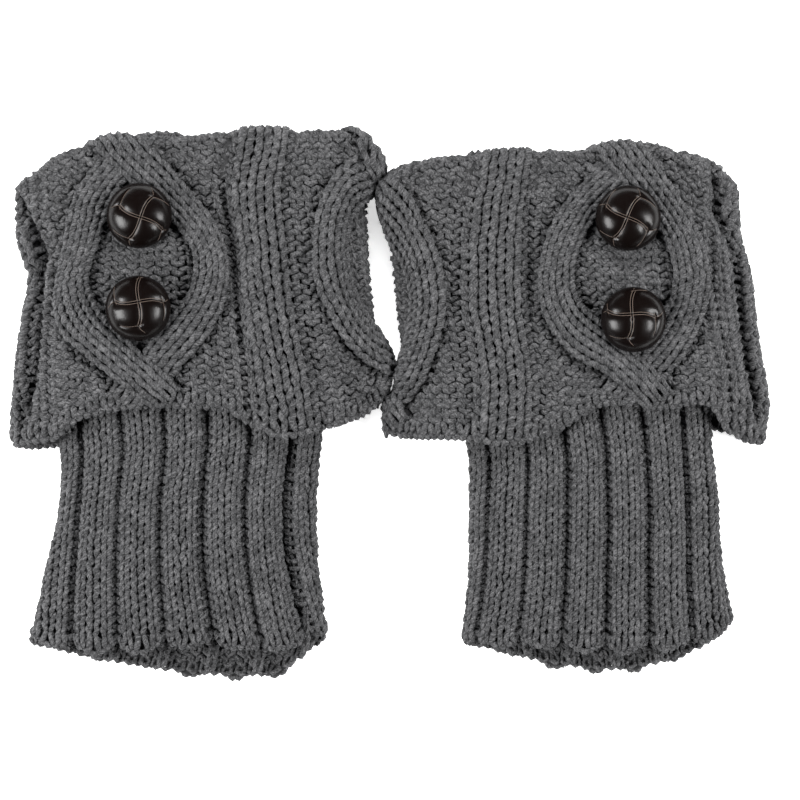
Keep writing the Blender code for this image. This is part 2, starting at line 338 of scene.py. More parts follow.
class Cloth:
    """The middle of a tube's wall, as rows of points from its hem inwards, with the course of each row."""

    def __init__(self, rows, courses, creases=(), widen=1.0, folded=math.inf):
        self.courses = np.array(courses, float)
        self.points = np.array(rows, float)
        self.normals = self.facing()
        outward = np.where(self.courses > folded, -1, 1)[:, None]
        for crease in creases:
            self.sink(crease, widen, outward)

    def facing(self):
        around = np.roll(self.points, -1, 1) - np.roll(self.points, 1, 1)
        normals = np.cross(around, np.gradient(self.points, axis=0))
        return normals / np.linalg.norm(normals, axis=2, keepdims=True)

    def sink(self, crease, widen, outward):
        """Presses a soft trough into one face of the cloth. Past a fold, outward is -1."""
        nearest, along = to_line(crease.line, self.points[..., 0], self.points[..., 1])
        ends = smoothstep(8 * np.minimum(along, 1 - along) + 0.3)
        side = smoothstep(3 * self.normals[:, :, 2] * outward * crease.face)
        depth = crease.depth * np.exp(-((nearest / crease.width / widen) ** crease.power)) * ends * side
        self.points = self.points - self.normals * (outward * depth)[..., None]

    def place(self, turn, course, out, lowest=YARN_LOWEST):
        """Points on the cloth, moved out along its normal, and those normals.

        What would reach below the lowest level is pressed flat there, by what the cuff lies on.
        """
        turn, course, out = np.broadcast_arrays(turn, course, out)
        stations = self.points.shape[1]
        i = np.clip(np.searchsorted(self.courses, course, side="right") - 1, 0, len(self.courses) - 2)
        s = ((course - self.courses[i]) / (self.courses[i + 1] - self.courses[i]))[..., None]
        station = (turn % 1) * stations
        k = np.floor(station).astype(int) % stations
        t = (station % 1)[..., None]
        found = []
        for grid in (self.points, self.normals):
            low = grid[i, k] * (1 - t) + grid[i, (k + 1) % stations] * t
            high = grid[i + 1, k] * (1 - t) + grid[i + 1, (k + 1) % stations] * t
            found.append(low + (high - low) * s)
        points, normals = found
        normals = normals / np.linalg.norm(normals, axis=-1, keepdims=True)
        points = points + normals * out[..., None]
        points[..., 2] = lowest + PRESSED * np.logaddexp(0, (points[..., 2] - lowest) / PRESSED)
        return points, normals


def flap_cloth(side, widen=1.0, stations=504, levels=46, fold_steps=9, return_steps=6):
    """The flap's wall from its hem up the outside, over the fold and down the return.

    widen is how much wider its creases are than the table says.
    """
    lay, rows, courses = LAYS[side], [], []
    for down in np.linspace(1, 0, levels):
        row, (x, z, nx, nz) = flap_row(lay, down, stations)
        top, hem = fold_line(lay, row, x), hem_line(lay["flap_ends"], row, x, nz)
        inset = FLAP_WALL / 2
        rows.append(np.stack([x - nx * inset, top + (hem - top) * down, z - nz * inset], 1))
        courses.append((1 - down) * FLAP_COURSES)
    radius = FOLD_RADIUS - FLAP_WALL / 2
    for step in range(1, fold_steps + 1):
        angle = math.pi * step / fold_steps
        inset = FOLD_RADIUS - radius * math.cos(angle)
        rows.append(np.stack([x - nx * inset, top + radius * math.sin(angle), z - nz * inset], 1))
        courses.append(FLAP_COURSES + FOLD_COURSES * step / fold_steps)
    for step in range(1, return_steps + 1):
        share = step / return_steps
        row, (x, z, nx, nz) = flap_row(lay, share * RETURN_LENGTH / FLAP_LENGTH, stations)
        y = fold_line(lay, row, x) * (1 - share) + seam_line(lay, row, x) * share
        rows.append(np.stack([x - nx * inset, y, z - nz * inset], 1))
        courses.append(FLAP_COURSES + FOLD_COURSES + RETURN_COURSES * share)
    return Cloth(rows, courses, CREASES[side], widen, FLAP_COURSES + FOLD_COURSES / 2)


def rib_cloth(side, stations=520, levels=56):
    """The leg's wall from its hem up to the seam inside the fold, without its grooves."""
    lay, rows, courses = LAYS[side], [], []
    seam_row, seam_ring = flap_row(lay, RETURN_LENGTH / FLAP_LENGTH, stations)
    first = lay["rib"].places[0]
    inset = RIB_WALL / 2
    for down in np.linspace(1, first, levels):
        row = lay["rib"].row(down)
        x, z, nx, nz = ring(row, RIB_SHOULDER, stations)
        top, hem = seam_line(lay, seam_row, x), hem_line(lay["rib_hem"], row, x, nz)
        rows.append(np.stack([x - nx * inset, top + (hem - top) * down, z - nz * inset], 1))
        courses.append((1 - down) * RIB_COURSES)
    x, z, nx, nz = seam_ring
    inset += FOLD_INSET
    rows.append(np.stack([x - nx * inset, seam_line(lay, seam_row, x) - SEAM_GAP, z - nz * inset], 1))
    courses.append(RIB_COURSES)
    return Cloth(rows, courses, CREASES[side], LEG_CREASE_WIDEN)


# ---------------- yarn


def loop_line(first, last, signs, steps, depth):
    """One course of knitting over these wales: places across in wales, along in courses, and out in mm.

    A knit stitch (sign 1) has its legs in front, and a purl stitch (sign -1) its head and foot.
    """
    across = np.arange(first * steps, last * steps + 1) / steps
    wale, part = np.floor(across).astype(int), across % 1
    before, here, after = (np.array([signs(w) for w in wale + k]) for k in (-1, 0, 1))
    blend = np.clip(0.5 - 4 * part, 0, 0.5), np.clip(4 * part - 3.5, 0, 0.5)
    sign = before * blend[0] + here * (1 - blend[0] - blend[1]) + after * blend[1]
    angle = 2 * math.pi * across
    return (
        across + LOOP_LEAN * np.sin(2 * angle),
        -LOOP_REACH * np.cos(angle),
        -sign * depth * np.cos(2 * angle),
    )


class YarnMesh:
    """Lines of yarn, collected as closed tubes into one mesh."""

    def __init__(self, name, sides, radius=YARN_RADIUS):
        self.name, self.sides, self.radius = name, sides, radius
        self.points, self.faces, self.lengths, self.count = [], [], [], 0

    def add(self, line, up, radius=None, taper=True):
        """A tube round this line, thin at its ends. up points out of the cloth."""
        radius = np.broadcast_to(self.radius if radius is None else radius, len(line)).copy()
        if taper:
            radius[[0, -1]] *= 0.3
            radius[[1, -2]] *= 0.8
        tangent = np.gradient(line, axis=0)
        tangent /= np.linalg.norm(tangent, axis=1, keepdims=True)
        side = np.cross(tangent, up)
        side /= np.linalg.norm(side, axis=1, keepdims=True)
        up = np.cross(side, tangent)
        angle = 2 * math.pi * np.arange(self.sides) / self.sides
        rings = line[:, None] + radius[:, None, None] * (
            np.cos(angle)[None, :, None] * side[:, None] + np.sin(angle)[None, :, None] * up[:, None]
        )
        length = np.append(0, np.cumsum(np.linalg.norm(np.diff(line, axis=0), axis=1)))
        low = self.count + np.arange(len(line) - 1)[:, None] * self.sides
        k = np.arange(self.sides)[None]
        after = (k + 1) % self.sides
        quads = np.stack([low + k, low + self.sides + k, low + self.sides + after, low + after], 2)
        self.faces.append(quads.reshape(-1, 4))
        self.lengths.append(length)
        self.points.append(rings.reshape(-1, 3))
        self.count += len(line) * self.sides

    def surface(self):
        """Every point on the yarns, and the middle of the yarn there."""
        rings = np.concatenate(self.points)
        middles = rings.reshape(-1, self.sides, 3).mean(1)
        return rings, np.repeat(middles, self.sides, 0)

    def build(self):
        """The mesh object, with the length along the yarn and the way round it as its UV map."""
        around = np.arange(self.sides)
        starts = np.cumsum([0, *map(len, self.lengths)])[:, None] * self.sides
        caps = np.stack([starts[:-1] + around, starts[1:] - 1 - around], 1).reshape(-1, self.sides)
        quads = np.concatenate(self.faces)
        piece = mesh_piece(self.name, np.concatenate(self.points), [*quads.tolist(), *caps.tolist()])
        corners = np.concatenate([quads.ravel(), caps.ravel()])
        along = np.repeat(np.concatenate(self.lengths), self.sides)[corners]
        way = corners % self.sides / self.sides
        closing = (np.arange(quads.size) % 4 >= 2) & (way[: quads.size] == 0)
        way[: quads.size][closing] = 1.0
        layer = piece.data.uv_layers.new(name="yarn")
        layer.data.foreach_set("uv", np.stack([along / 10, way], 1).astype(np.float32).ravel())
        piece.data.validate()
        piece.data.shade_smooth()
        return piece


class Wobble:
    """Small uneven offsets of each stitch, of these sizes, the same on every run."""

    def __init__(self, seed, wales, sizes):
        draw = np.random.default_rng(seed)
        self.values = draw.normal(0, 1, (len(sizes), WOBBLE_COURSES, wales))
        self.sizes = np.array(sizes)[:, None]

    def at(self, course, across):
        values = self.values[:, course]
        wale = np.floor(across - 0.5).astype(int)
        t, after = across - 0.5 - wale, (wale + 1) % values.shape[1]
        return self.sizes * (values[:, wale % values.shape[1]] * (1 - t) + values[:, after] * t)


def lay_course(yarn, cloth, course, line, turn_of, lift, wobble, thicker=lambda across: 1.0):
    """Lays one course's line on the cloth, a little unevenly, and adds it to the mesh."""
    across, along, out = line
    shift, rise, stand, fat = wobble.at(course, across)
    place = course + 0.5 + along + rise
    out = YARN_LEVEL + out + lift(across, place) + stand
    points, normals = cloth.place(turn_of(across + shift, place), place, out)
    yarn.add(points, normals, yarn.radius * thicker(across) * (1 + fat))


# ---------------- the flap

# How far the pattern is pulled sideways, in wales, at places across it, from the fold down to the hem.
DRIFT_PLACES = np.array([-4.4, 0.5, 5.4, 9.5, 14.0, 24.0, 40.0])
DRIFTS = {
    "left": Table(
        "down a_left middle a_right column b_left behind end",
        (0.00, 0.0, 0.0, 0.3, 0.7, 0.5, 0.0, 0.0),
        (0.25, 0.2, 0.2, 0.3, 0.3, 0.9, 0.2, 0.0),
        (0.50, 0.0, 0.3, 0.9, 0.4, 1.4, 0.3, 0.0),
        (0.75, 0.0, 0.2, 0.6, 0.8, 1.0, 0.2, 0.0),
        (1.00, 0.0, 0.0, 0.2, 0.8, 0.6, 0.0, 0.0),
    ),
    "right": Table(
        "down a_left middle a_right column b_left behind end",
        (0.00, 0.0, 0.0, 0.0, 0.2, -0.4, 0.0, 0.0),
        (0.25, 0.1, 0.1, 0.1, 0.2, -0.8, -0.2, 0.0),
        (0.50, 0.2, 0.2, 0.1, 0.1, -0.8, -0.2, 0.0),
        (0.75, 0.1, 0.1, 0.1, 0.2, -0.5, 0.0, 0.0),
        (1.00, 0.0, 0.0, 0.0, 0.2, 0.0, 0.0, 0.0),
    ),
}
DRIFT_SIDE = {"left": 1, "right": -1}
COLUMN_HEIGHT = 1.9
COLUMN_HALF = 2.1            # half a straight column's width, in wales
STRAND_HEIGHT = 4.3
STRAND_HALF = 1.66
STRAND_OVER = 1.5            # how much higher the upper strand is where two cross
STRAND_HIDES = 1.0           # the ground has no stitches this near to a strand's centre, in wales
BESIDE_DEPTH = 1.3           # how far the ground sinks beside a strand


def from_column(across):
    """How far the nearest straight column's centre is, in wales, and on which side."""
    return (across - 0.5) % REPEAT - REPEAT / 2


def flap_turn(side, across, course):
    """The turn at which a place in the pattern lies: columns are wide, and the pattern drifts sideways."""
    table, way = DRIFTS[side], DRIFT_SIDE[side]
    down = np.clip(1 - np.asarray(course) / FLAP_COURSES, 0, 1)
    local = (way * (across - 0.5) + 0.5 - DRIFT_PLACES[0]) % FLAP_WALES
    places = np.append(DRIFT_PLACES - DRIFT_PLACES[0], FLAP_WALES)
    pulls = np.array([table.at(down, name) for name in list(table.columns)[1:]])
    pulls = np.concatenate([pulls, pulls[:1]])
    drift = np.zeros(np.broadcast(local, down).shape)
    for i in range(len(places) - 1):
        t = (local - places[i]) / (places[i + 1] - places[i])
        drift = np.where((t >= 0) & (t < 1), pulls[i] + (pulls[i + 1] - pulls[i]) * smoothstep(t), drift)
    away = from_column(across)
    return (across - 0.5 + 0.22 * away * np.exp(-((away / 2.4) ** 2)) + drift) / FLAP_WALES


def flap_sign(wale):
    return 1 if abs(from_column(wale + 0.5)) < 1.5 else -1


def flap_lift(across, course):
    """The columns' rounded height, and the dip along each side of them."""
    away = np.abs(from_column(across))
    height = COLUMN_HEIGHT * np.sqrt(np.clip(1 - (away / COLUMN_HALF) ** 2, 0, 1))
    dip = 1.1 * np.exp(-(((away - COLUMN_HALF) / 0.45) ** 2))
    return height * smoothstep((COLUMN_HALF - away) / 0.5) - dip


def strand_centre(almond, hand, course):
    """The wale at a cable strand's centre: hand is 1 for the one that is right of the almond below its top."""
    down = 1 - np.asarray(course) / FLAP_COURSES
    parted = PART_MOST * np.sin(math.pi * (down - PART_START) / (PART_END - PART_START))
    return 0.5 + REPEAT * (almond + hand * parted)


def strand_lean(almond, hand, course):
    slope = strand_centre(almond, hand, course + 0.5) - strand_centre(almond, hand, course - 0.5)
    return np.arctan(slope * WALE / COURSE)


def from_strand(across, course):
    """How far the nearest cable strand's centre is, square to it, in wales."""
    gaps = [
        np.abs(across - strand_centre(almond, hand, course)) * np.cos(strand_lean(almond, hand, course))
        for almond in range(-1, REPEATS + 1)
        for hand in (-1, 1)
    ]
    return np.min(gaps, 0)


def near_fold(course):
    """0 on the flap's face, rising to 1 over the last courses below the fold, and on past it."""
    return smoothstep((course - FLAP_COURSES + 4) / 3)


def rising(course):
    """How much of their height the strands have here: less at the hem."""
    return 0.35 + 0.65 * smoothstep(course / 2.5)


def ground_lift(across, course):
    """The ground's height: columns stand up, and the purl sinks beside the strands."""
    beside = np.exp(-(((from_strand(across % FLAP_WALES, course) - 1.5) / 0.75) ** 2))
    fades = smoothstep((course - 1) / 3) * (1 - near_fold(course))
    return flap_lift(across, course) - BESIDE_DEPTH * beside * fades


def backing_lift(across, course):
    """The height of the cloth behind the stitches: it fills out the columns and the strands."""
    near = near_fold(course)
    aside = from_strand(across % FLAP_WALES, course) / (1.35 + 0.12 * near)
    strand = (3.0 + 0.7 * near) * np.sqrt(np.clip(1 - aside**2, 0, 1))
    low = ground_lift(across, course)
    return np.where(low > 0, 0.8 * low, low) + strand * rising(course)


def runs(first, last, course):
    """Stretches of the ground's wales that no strand hides."""
    def hidden(wale):
        return from_strand(wale % FLAP_WALES + 0.5, course + 0.5) < STRAND_HIDES

    for hides, wales in groupby(range(first, last), hidden):
        wales = list(wales)
        if not hides:
            yield wales[0], wales[-1] + 1


def ground(name, side, cloth, first, last, detail, seed, courses):
    """The flap's purl ground and straight columns, over these wales and courses."""
    def thicker(across):
        return 0.97 + 0.17 * smoothstep(2.2 - np.abs(from_column(across)))

    steps, sides = detail
    yarn = YarnMesh(name, sides)
    wobble = Wobble(seed, FLAP_WALES, WOBBLE)
    for course in range(*courses):
        for start, end in runs(first, last, course):
            line = loop_line(start, end, flap_sign, steps, FLAP_LOOP_DEPTH)
            lay_course(yarn, cloth, course, line, partial(flap_turn, side), ground_lift, wobble, thicker)
    return yarn


def strand_lift(across, course, hand):
    """How far a strand's knit stands above the ground's: rounded across, and higher where it passes over."""
    down = 1 - course / FLAP_COURSES
    rounded = STRAND_HEIGHT * np.sqrt(np.clip(1 - (across / STRAND_HALF) ** 2, 0, 1)) - 0.9
    top = np.exp(-(((down - PART_START) / 0.085) ** 2))
    bottom = np.exp(-(((down - PART_END) / 0.085) ** 2))
    over = top - bottom if hand > 0 else bottom - top
    return (rounded + STRAND_OVER * over) * rising(course)


def strands(name, side, cloth, detail, seed, courses):
    """All the cable strands of one flap, each three wales of knit stitches along its own line."""
    steps, sides = detail
    yarn = YarnMesh(name, sides)
    width = STRAND_WIDTH / WALE / 3
    for almond in range(REPEATS):
        for hand in (-1, 1):
            wobble = Wobble(seed + 2 * almond + hand, 3, STRAND_WOBBLE)
            for course in range(*courses):
                across, along, out = loop_line(0, 3, lambda wale: 1, steps, STRAND_LOOP_DEPTH)
                shift, rise, stand, fat = wobble.at(course, across)
                place = course + 0.5 + along + rise
                across = across - 1.5 + shift
                lean = strand_lean(almond, hand, place)
                centre = strand_centre(almond, hand, place) + across * width * np.cos(lean)
                place = place - across * width * np.sin(lean) * WALE / COURSE
                height = YARN_LEVEL + (out + stand) + strand_lift(across, place, hand)
                points, normals = cloth.place(flap_turn(side, centre, place), place, height)
                yarn.add(points, normals, YARN_RADIUS * (1 + fat))
    return yarn


def hem_row(name, cloth, turn_of, wales, lift, low, high, seed, radius):
    """The tall, close legs of the stitches that end the wales along a hem, and the cast-off edge below them."""
    yarn = YarnMesh(name, 5, radius)
    draw = np.random.default_rng(seed)
    t = np.linspace(-1, 1, 9)
    for k in range(2 * wales):
        tilt, lower, fat, stand, upper = draw.normal(0, 1, 5)
        across = (k + 0.5) / 2 + (0.06 * tilt + 0.10 * (-1) ** k) * t
        here = low(across) + 0.08 * lower
        course = here + (high + 0.12 * upper - here) * (t + 1) / 2
        out = YARN_LEVEL + 0.9 - 1.2 * np.abs(t) ** 3 + 0.2 * stand + lift(across, course)
        points, normals = cloth.place(turn_of(across, course), course, out)
        yarn.add(points, normals, radius * (1 + 0.07 * fat))
    across = np.linspace(0, wales, wales * 8 + 1)
    uneven, size = (np.interp(across, np.arange(wales + 1), draw.normal(0, 1, wales + 1)) for _ in range(2))
    beads = np.cos(4 * math.pi * across + uneven)
    course = low(across) + 0.09 * uneven - 0.10 * beads
    out = YARN_LEVEL - 0.25 + 0.25 * beads + lift(across, course)
    points, normals = cloth.place(turn_of(across, course), course, out)
    yarn.add(points, normals, radius * (0.98 + 0.18 * beads + 0.08 * size), taper=False)
    return yarn


# ---------------- the ribbed leg

LEG_INSET = 2.2              # of the stitches on the inside
RIB_HEIGHT = 4.1             # of a rib above the grooves beside it
# The grooves that differ from the rest, counted round from the ring's start: how deep each is, as a share of
# the ribs' height, and half its width, as a share of the way from groove to groove.
GROOVE = (1.0, 0.10)
ODD_GROOVES = {
    "left": {1: (1.4, 0.14), 2: (1.1, 0.10), 3: (1.6, 0.20), 4: (0.9, 0.09), 10: (0.9, 0.10)},
    "right": {0: (1.4, 0.13), 1: (1.2, 0.11), 9: (0.8, 0.09), 11: (1.35, 0.13), 12: (1.4, 0.13)},
}
GROOVES = {side: np.array([odd.get(k, GROOVE) for k in range(RIBS)]).T for side, odd in ODD_GROOVES.items()}

# The end of the yarn, from the right leg's hem down to what the pair lies on.
YARN_TAIL = (
    (0.00, 70.8, -90.7, 13.5),
    (0.24, 76.6, -92.6, 9.0),
    (0.42, 79.7, -95.7, 4.0),
    (0.62, 80.5, -100.3, 1.2),
    (0.75, 81.6, -102.6, 0.5),
    (0.90, 80.1, -105.1, 0.5),
    (1.00, 79.0, -104.2, 0.5),
)


def rib_turn(side, across, course=0):
    """The turn at which a wale of the ribbing lies, at any course: purl wales are narrow, in the grooves."""
    rib, wale = np.floor((across - 0.5) / 4).astype(int), (across - 0.5) % 4
    widths = GROOVES[side][1]
    low, high = widths[rib % RIBS], 1 - widths[(rib + 1) % RIBS]
    first, second = low + 0.29 * (high - low), low + 0.71 * (high - low)
    place = np.zeros(wale.shape)
    for start, end, here, there in (
        (0, 0.5, 0, low), (0.5, 1.5, low, first), (1.5, 2.5, first, second), (2.5, 3.5, second, high),
        (3.5, 4, high, 1),
    ):
        inside = (wale >= start) & (wale < end)
        place = np.where(inside, here + (there - here) * (wale - start) / (end - start), place)
    return (rib + place) / RIBS


def rib_sign(wale):
    return -1 if wale % 4 == 0 else 1


def rib_lift(side, across, course=0, inset=0.0):
    """The height of the ribs' rounded tops and of the grooves, at any course."""
    place = rib_turn(side, across) * RIBS
    groove = np.round(place).astype(int) % RIBS
    depth = GROOVES[side][0][groove]
    away = np.abs(2 * (place % 1) - 1)
    return 0.9 - RIB_HEIGHT * depth * (0.4 * away**2 + 0.6 * away**6 + 0.4 * away**20) - inset


def ribbing(name, side, cloth, first, last, detail, seed, courses, inset=0.0):
    """The leg's stitches. The tube's inside has its own near the hem, set in behind the cloth."""
    steps, sides = detail
    yarn = YarnMesh(name, sides, RIB_YARN_RADIUS)
    wobble = Wobble(seed, 4 * RIBS, WOBBLE)
    for course in range(*courses):
        line = loop_line(first, last, rib_sign, steps, RIB_LOOP_DEPTH)
        lift = partial(rib_lift, side, inset=inset)
        lay_course(yarn, cloth, course, line, partial(rib_turn, side), lift, wobble)
    return yarn


def rib_drop(side, across):
    """The leg's hem, as a course: lower at the middle of each rib, unevenly."""
    place = rib_turn(side, across) * RIBS
    uneven = 1 + 0.2 * np.sin(2.3 * np.floor(place)) + 0.35 * np.sin(2 * math.pi * place + np.floor(place))
    return 0.45 - 0.9 * uneven * np.abs(np.sin(math.pi * place)) ** 1.2


# ---------------- loose fibres


def fuzz(name, yarns, hairs, seed):
    """Short fibres that stand out of the yarns, this many on each: narrow pointed blades of one face."""
    draw = np.random.default_rng(seed)
    points = []
    for yarn, count in zip(yarns, hairs):
        surface, middle = yarn.surface()
        pick = draw.integers(0, len(surface), count)
        root = surface[pick]
        away = root - middle[pick]
        away /= np.linalg.norm(away, axis=1, keepdims=True)
        way = away + draw.normal(0, 0.8, (count, 3))
        way /= np.linalg.norm(way, axis=1, keepdims=True)
        tip = root - 0.3 * away + way * draw.uniform(1.0, FIBRE_LENGTH, (count, 1))
        flat = np.cross(way, draw.normal(0, 1, (count, 3)))
        flat *= FIBRE_WIDTH / 2 / np.linalg.norm(flat, axis=1, keepdims=True)
        points.append(np.stack([root - flat, root + flat, tip], 1))
    points = np.concatenate(points)
    points[..., 2] = np.maximum(points[..., 2], 0.2)
    return mesh_piece(name, points.reshape(-1, 3), np.arange(points.size // 3).reshape(-1, 3).tolist())


# ---------------- base cloth


def base_cloth(name, cloth, wales, turn_of, lift, start, courses, depth, per_wale=4, wall=0.6):
    """The thin cloth behind the stitches: a closed shell, up its outside and down its inside."""
    count = wales * per_wale
    across = np.arange(count) / per_wale
    rows = []
    for inset, order in ((depth, courses), (depth + wall, courses[::-1])):
        for course in order:
            here = course + start(across) * (1 - course / courses[-1])
            out = YARN_LEVEL - inset + lift(across, here)
            rows.append(cloth.place(turn_of(across, here), here, out, BASE_LOWEST)[0])
    low = np.arange(len(rows))[:, None] * count
    high = (np.arange(len(rows)) + 1)[:, None] % len(rows) * count
    k = np.arange(count)[None]
    after = (k + 1) % count
    faces = np.stack([low + k, low + after, high + after, high + k], 2).reshape(-1, 4)
    piece = mesh_piece(name, np.concatenate(rows), faces.tolist())
    piece.data.shade_smooth()
    return piece


# ---------------- buttons

# One arm of the seams between a button's four leather panels, and the seam across its end.
ARM = ((0.0, 0.0), (2.4, 0.35), (4.8, 0.5), (7.2, 0.2), (9.3, -0.6))
ARM_END = ((8.7, 0.9), (9.2, -0.9), (9.5, -3.2), (9.4, -5.6), (8.8, -7.8))
ARM_TAIL = ((9.3, -0.6), (10.8, 0.4), (12.0, 1.9))


def seam(points, angle, centre, steps=6):
    """A smooth line through these points, turned by the angle and moved to the centre."""
    points = np.array(points, float)
    table = Table("t x y", *np.column_stack([np.arange(len(points)), points]))
    t = np.linspace(0, len(points) - 1, (len(points) - 1) * steps + 1)
    c, s = math.cos(angle), math.sin(angle)
    return np.stack([table.at(t, "x"), table.at(t, "y")], 1) @ np.array([[c, s], [-s, c]]) + centre


def button_seams(tilt, centre):
    """The seams over a whole button: lines between panels, and those at the panels' outer ends."""
    angles = [tilt + k * math.pi / 2 for k in range(4)]
    between = [seam(ARM, angle, centre) for angle in angles]
    return between, [seam(line, angle, centre) for angle in angles for line in (ARM_END, ARM_TAIL)]


def dome_height(x, y, between, ends):
    """The leather's height above the dome's foot: padded panels that sink into the seams between them."""
    r = np.minimum(np.hypot(x, y) / BUTTON_RADIUS, 1)
    height = BUTTON_DOME * np.sqrt(1 - r**2)
    near, far = (np.min([to_line(line, x, y)[0] for line in lines], 0) for lines in (between, ends))
    sink = 0.50 * np.exp(-((near / 1.7) ** 2)) + 0.45 * np.exp(-((near / 0.32) ** 2))
    sink = sink + 0.32 * np.exp(-((far / 1.5) ** 2)) + 0.35 * np.exp(-((far / 0.26) ** 2))
    return height - sink * (1 - r**8)


def make_button(side, place, tilt, centre, rings=40, steps=112):
    """A domed button of woven leather, with the light cut edges of the leather along its seams."""
    across, down = BUTTONS[side][place]
    row, ends = LAYS[side]["flap"].row(down), LAYS[side]["flap_ends"].row(across)
    top = ends["fold"] - FOLD_RADIUS
    spot = np.array([
        row["left"] + (row["right"] - row["left"]) * across,
        top + (ends["hem_front"] - top) * down,
        row["crown"] + BUTTON_LIFT,
    ])
    between, ends = button_seams(tilt, np.array(centre))
    foot = BOSS_HEIGHT + BUTTON_RIM
    angle = 2 * math.pi * np.arange(steps) / steps
    points = [np.array([[0, 0, foot + dome_height(np.zeros(1), np.zeros(1), between, ends)[0]]])]
    for k in range(1, rings + 1):
        r = BUTTON_RADIUS * math.sin(math.pi / 2 * k / rings)
        x, y = r * np.cos(angle), r * np.sin(angle)
        points.append(np.stack([x, y, foot + dome_height(x, y, between, ends)], 1))
    for r, z in ((12.4, foot - 0.5), (12.0, foot - 1.0), (11.3, BOSS_HEIGHT), (4, BOSS_HEIGHT), (4, 0)):
        points.append(np.stack([r * np.cos(angle), r * np.sin(angle), np.full(steps, z)], 1))
    last = len(points) - 1
    faces = [(0, 1 + k, 1 + (k + 1) % steps) for k in range(steps)]
    for k in range(last - 1):
        low, high = 1 + k * steps, 1 + (k + 1) * steps
        faces += [(low + i, high + i, high + (i + 1) % steps, low + (i + 1) % steps) for i in range(steps)]
    faces.append(range(last * steps, (last - 1) * steps, -1))
    leather = mesh_piece(f"{side}_{place}_leather", np.concatenate(points) + spot, faces)
    leather.data.shade_smooth()
    edges = YarnMesh(f"{side}_{place}_leather_edges", 5, 0.11)
    for lines, offsets in ((between, (-0.46, 0.46)), (ends, (-0.1,))):
        for line in lines:
            tangent = np.gradient(line, axis=0)
            normal = np.stack([-tangent[:, 1], tangent[:, 0]], 1)
            normal /= np.linalg.norm(normal, axis=1, keepdims=True)
            for offset in offsets:
                x, y = (line + offset * normal).T
                keep = np.hypot(x, y) < BUTTON_RADIUS - 0.4
                x, y = x[keep], y[keep]
                z = foot + dome_height(x, y, between, ends) + 0.05
                ups = np.stack([x, y, np.full(len(x), 9.0)], 1)
                edges.add(np.stack([x, y, z], 1) + spot, ups)
    return leather, edges.build()


# ---------------- materials


class Look:
    """A material, with short ways to add nodes to it. The values of sockets are numbers or other nodes' outputs."""

    def __init__(self, name, values):
        self.material = bpy.data.materials.new(name)
        self.material.use_nodes = True
        self.tree = self.material.node_tree
        self.shader = self.tree.nodes["Principled BSDF"]
        self.fill(self.shader, values)

    def fill(self, node, values):
        for socket, value in values.items():
            if isinstance(value, bpy.types.NodeSocket):
                self.tree.links.new(value, node.inputs[socket])
            else:
                node.inputs[socket].default_value = value

    def add(self, kind, output, values):
        node = self.tree.nodes.new(f"ShaderNode{kind}")
        self.fill(node, values)
        return node.outputs[output]

    def math(self, operation, *values):
        node = self.tree.nodes.new("ShaderNodeMath")
        node.operation = operation
        self.fill(node, dict(enumerate(values)))
        return node.outputs[0]

    def place(self):
        return self.add("TexCoord", "Object", {})

    def noise(self, scale, detail=2):
        return self.add("TexNoise", "Fac", {"Scale": scale, "Detail": detail, "Vector": self.place()})

    def colour(self, value, *stops):
        """Colours the surface by this value, between stops of a place and a colour."""
        node = self.tree.nodes.new("ShaderNodeValToRGB")
        for i, (place, colour) in enumerate(stops):
            stop = node.color_ramp.elements[i] if i < 2 else node.color_ramp.elements.new(place)
            stop.position, stop.color = place, (*colour, 1)
        self.fill(node, {"Fac": value})
        self.fill(self.shader, {"Base Color": node.outputs["Color"]})

    def bump(self, height, strength, distance):
        """A bump on the surface, over any bump that it already has. The distance is in metres."""
        values = {"Height": height, "Strength": strength, "Distance": distance}
        for under in self.shader.inputs["Normal"].links:
            values["Normal"] = under.from_socket
        self.fill(self.shader, {"Normal": self.add("Bump", "Normal", values)})


def grey(value, warmth=0.0):
    return (value * (1 + warmth), value, value * (1.035 - warmth))


def yarn_material(name, shade):
    """Matt marled yarn: two twisted plies, with lighter and darker fibres that follow the twist."""
    look = Look(name, {
        "Roughness": 0.95, "Specular IOR Level": 0.2,
        "Sheen Weight": 0.08, "Sheen Roughness": 0.6, "Sheen Tint": (0.6, 0.62, 0.65, 1),
    })
    yarn = look.tree.nodes.new("ShaderNodeUVMap")
    yarn.uv_map = "yarn"
    along, way = (look.add("SeparateXYZ", k, {0: yarn.outputs["UV"]}) for k in (0, 1))
    twist = look.math("MULTIPLY_ADD", along, 2.6, way)
    x, y = (look.add("SeparateXYZ", k, {0: look.place()}) for k in (0, 1))
    stretched = look.add("CombineXYZ", 0, {
        0: look.math("MULTIPLY", along, 5.0),
        1: look.math("MULTIPLY", twist, 11.0),
        2: look.math("MULTIPLY", look.math("ADD", x, y), 160),
    })
    fibres = look.add("TexNoise", "Fac", {"Scale": 1.0, "Detail": 3, "Roughness": 0.6, "Vector": stretched})
    mixed = look.math("MULTIPLY", fibres, 0.52)
    mixed = look.math("MULTIPLY_ADD", look.noise(1500), 0.33, mixed)
    mixed = look.math("MULTIPLY_ADD", look.noise(230, 1), 0.15, mixed)
    look.colour(mixed, (0.415, grey(shade * 0.33)), (0.585, grey(shade * 2.15, 0.01)), (0.5, grey(shade)))
    look.bump(look.math("SINE", look.math("MULTIPLY", twist, 2 * math.tau)), 0.8, 0.00025)
    look.bump(mixed, 1.0, 0.0005)
    return look.material


def fibre_material(name, shade):
    """Single fibres, each a little lighter or darker."""
    look = Look(name, {"Roughness": 0.9, "Specular IOR Level": 0.1})
    look.colour(look.noise(700), (0.38, grey(shade * 0.5)), (0.62, grey(shade * 1.6)))
    return look.material


